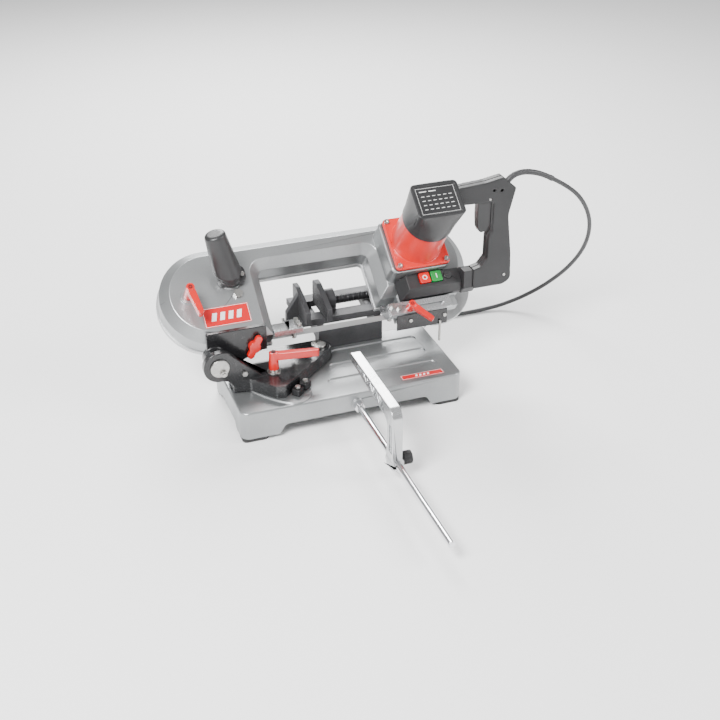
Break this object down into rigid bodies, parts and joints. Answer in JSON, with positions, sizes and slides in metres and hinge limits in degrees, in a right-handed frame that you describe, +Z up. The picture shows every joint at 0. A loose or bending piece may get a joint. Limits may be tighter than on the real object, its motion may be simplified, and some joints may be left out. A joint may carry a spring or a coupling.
{
  "type": "horizontal_band_saw",
  "caption": "Portable metal-cutting band saw: tilting bow on a swivelling arm, red motor, D handle, vise, sliding guide, cast base and length stop on a rod.",
  "frame": {"origin": "Centre of the plane that the rubber feet stand on, under the middle of the base.", "axes": "+Z up, +X from the hinge end to the motor end, +Y from the length stop to the vise at the back."},
  "size_m": [0.9523, 0.9465, 0.451],
  "materials": {
    "cast_silver": "satin sand-cast aluminium",
    "cover_grey": "light grey paint",
    "black_paint": "semi-gloss black paint",
    "black_rubber": "matte rubber",
    "red_label": "satin printed sheet",
    "zinc_steel": "zinc plated",
    "bright_rod": "polished",
    "satin_aluminium": "satin cast",
    "grey_iron": "machined and dark painted",
    "blade_steel": "ground",
    "red_paint": "powder coat",
    "red_gloss": "gloss",
    "green_plastic": "gloss",
    "black_plastic": "fine texture"
  },
  "bodies": {
    "base": {"base_casting": "cast_silver", "rubber_feet": "black_rubber", "base_label": "red_label", "swivel_pivot_bolt": "zinc_steel", "angle_stop_blocks": "black_paint", "base_bolts": "zinc_steel", "stop_rod": "bright_rod", "vise_bed": "grey_iron", "fixed_jaw": "grey_iron"},
    "swivel_arm": {"swivel_arm_casting": "black_paint", "hinge_axle": "zinc_steel", "hinge_cap": "satin_aluminium", "arm_screws": "zinc_steel", "lock_stud": "zinc_steel", "power_cord": "black_rubber", "cord_coil": "black_rubber", "power_plug": "black_rubber"},
    "swivel_lock_lever": {"swivel_lock_lever": "red_gloss"},
    "bow": {"bow_bracket": "black_paint", "bow_frame": "cast_silver", "bow_back_cover": "cover_grey", "cover_screws": "zinc_steel", "shaft_bearing": "zinc_steel", "left_guide": "black_paint", "left_guide_rollers": "zinc_steel", "saw_blade": "blade_steel", "motor_gasket": "black_rubber", "motor_housing": "red_paint", "motor_screws": "zinc_steel", "motor_cap": "black_plastic", "switch_box": "black_plastic", "handle_front_shell": "black_plastic", "handle_back_shell": "black_plastic", "handle_bracket": "black_plastic", "cord_sleeve": "black_rubber", "front_grip": "black_plastic", "bow_fixings": "zinc_steel", "bow_label": "red_label"},
    "tension_lever": {"tension_lever": "red_gloss"},
    "tension_carriage": {"tension_carriage": "black_paint"},
    "idler_wheel": {"idler_wheel": "satin_aluminium"},
    "drive_wheel": {"drive_wheel": "satin_aluminium", "drive_shaft": "zinc_steel", "drive_gear": "zinc_steel"},
    "motor_rotor": {"motor_rotor": "zinc_steel"},
    "right_guide": {"right_guide": "black_paint", "right_guide_rollers": "zinc_steel", "blade_guard": "black_paint", "guide_fixings": "zinc_steel"},
    "guide_lever": {"guide_lever": "red_gloss"},
    "trigger": {"trigger": "black_plastic"},
    "start_button": {"start_button": "green_plastic"},
    "stop_button": {"stop_button": "red_gloss"},
    "speed_dial": {"speed_dial": "black_plastic"},
    "wing_knob": {"wing_knob": "red_gloss"},
    "moving_jaw": {"moving_jaw": "grey_iron"},
    "vise_screw": {"vise_screw": "grey_iron"},
    "stop_arm": {"stop_arm": "satin_aluminium"},
    "stop_knob": {"stop_knob": "black_plastic"}
  },
  "joints": [
    {"name": "mitre_swivel", "type": "hinge", "parent": "base", "child": "swivel_arm", "pos_m": [-0.024, 0.048, 0.068], "axis": [0, 0, -1], "range_deg": [0, 45]},
    {"name": "bow_tilt", "type": "hinge", "parent": "swivel_arm", "child": "bow", "pos_m": [-0.252, 0, 0.133], "axis": [0, -1, 0], "range_deg": [0, 55]},
    {"name": "swivel_lock_turn", "type": "hinge", "parent": "swivel_arm", "child": "swivel_lock_lever", "pos_m": [-0.14, -0.02, 0.118], "axis": [0, 0, 1], "range_deg": [-70, 0]},
    {"name": "tension_lever_turn", "type": "hinge", "parent": "bow", "child": "tension_lever", "pos_m": [-0.2796, 0.08945, 0.23554], "axis": [0, -0.6157, 0.788], "range_deg": [0, 120]},
    {"name": "tension_travel", "type": "slide", "parent": "bow", "child": "tension_carriage", "axis": [1, 0, 0], "range_m": [0, 0.0062]},
    {"name": "idler_spin", "type": "hinge", "parent": "tension_carriage", "child": "idler_wheel", "pos_m": [-0.2326, 0.11794, 0.20069], "axis": [0, -0.6157, 0.788], "continuous": true},
    {"name": "drive_spin", "type": "hinge", "parent": "bow", "child": "drive_wheel", "pos_m": [0.2174, 0.11794, 0.20069], "axis": [0, -0.6157, 0.788], "continuous": true},
    {"name": "motor_spin", "type": "hinge", "parent": "bow", "child": "motor_rotor", "pos_m": [0.1979, 0.06638, 0.29365], "axis": [0, -0.6157, 0.788], "continuous": true},
    {"name": "guide_slide", "type": "slide", "parent": "bow", "child": "right_guide", "axis": [-1, 0, 0], "range_m": [0, 0.07]},
    {"name": "guide_lever_turn", "type": "hinge", "parent": "bow", "child": "guide_lever", "pos_m": [0.1604, 0.00222, 0.17501], "axis": [0, -0.6157, 0.788], "range_deg": [-60, 0]},
    {"name": "trigger_pull", "type": "hinge", "parent": "bow", "child": "trigger", "pos_m": [0.329, 0.012, 0.392], "axis": [0, -1, 0], "range_deg": [0, 5.5], "stiffness_Nm_per_rad": 0.5, "springref_deg": -11.46},
    {"name": "start_press", "type": "slide", "parent": "bow", "child": "start_button", "axis": [0, 0.6157, -0.788], "range_m": [0, 0.003], "stiffness_N_per_m": 800, "springref_m": -0.001},
    {"name": "stop_press", "type": "slide", "parent": "bow", "child": "stop_button", "axis": [0, 0.6157, -0.788], "range_m": [0, 0.003], "stiffness_N_per_m": 800, "springref_m": -0.001},
    {"name": "speed_dial_turn", "type": "hinge", "parent": "bow", "child": "speed_dial", "pos_m": [0.2534, 0.02808, 0.22312], "axis": [0, -0.6157, 0.788], "range_deg": [0, 270]},
    {"name": "wing_knob_turn", "type": "hinge", "parent": "bow", "child": "wing_knob", "pos_m": [-0.171, 0.006, 0.146], "axis": [0, -1, 0], "range_deg": [0, 360]},
    {"name": "vise_slide", "type": "slide", "parent": "base", "child": "moving_jaw", "axis": [1, 0, 0], "range_m": [-0.0345, 0.07]},
    {"name": "vise_screw_turn", "type": "hinge", "parent": "moving_jaw", "child": "vise_screw", "pos_m": [0.04, 0.15, 0.142], "axis": [1, 0, 0], "range_deg": [-3200, 6400]},
    {"name": "stop_arm_slide", "type": "slide", "parent": "base", "child": "stop_arm", "axis": [0, 1, 0], "range_m": [-0.22, 0.02]},
    {"name": "stop_knob_turn", "type": "hinge", "parent": "stop_arm", "child": "stop_knob", "pos_m": [0.02, -0.315, 0.0425], "axis": [1, 0, 0], "range_deg": [-360, 0]}
  ],
  "couplings": [
    {"joint": "tension_travel", "follows": "tension_lever_turn", "m_per_rad": 0.002865},
    {"joint": "idler_spin", "follows": "drive_spin", "ratio": 1},
    {"joint": "motor_spin", "follows": "drive_spin", "ratio": -3.1},
    {"joint": "vise_screw_turn", "follows": "vise_slide", "rad_per_m": 500}
  ]
}
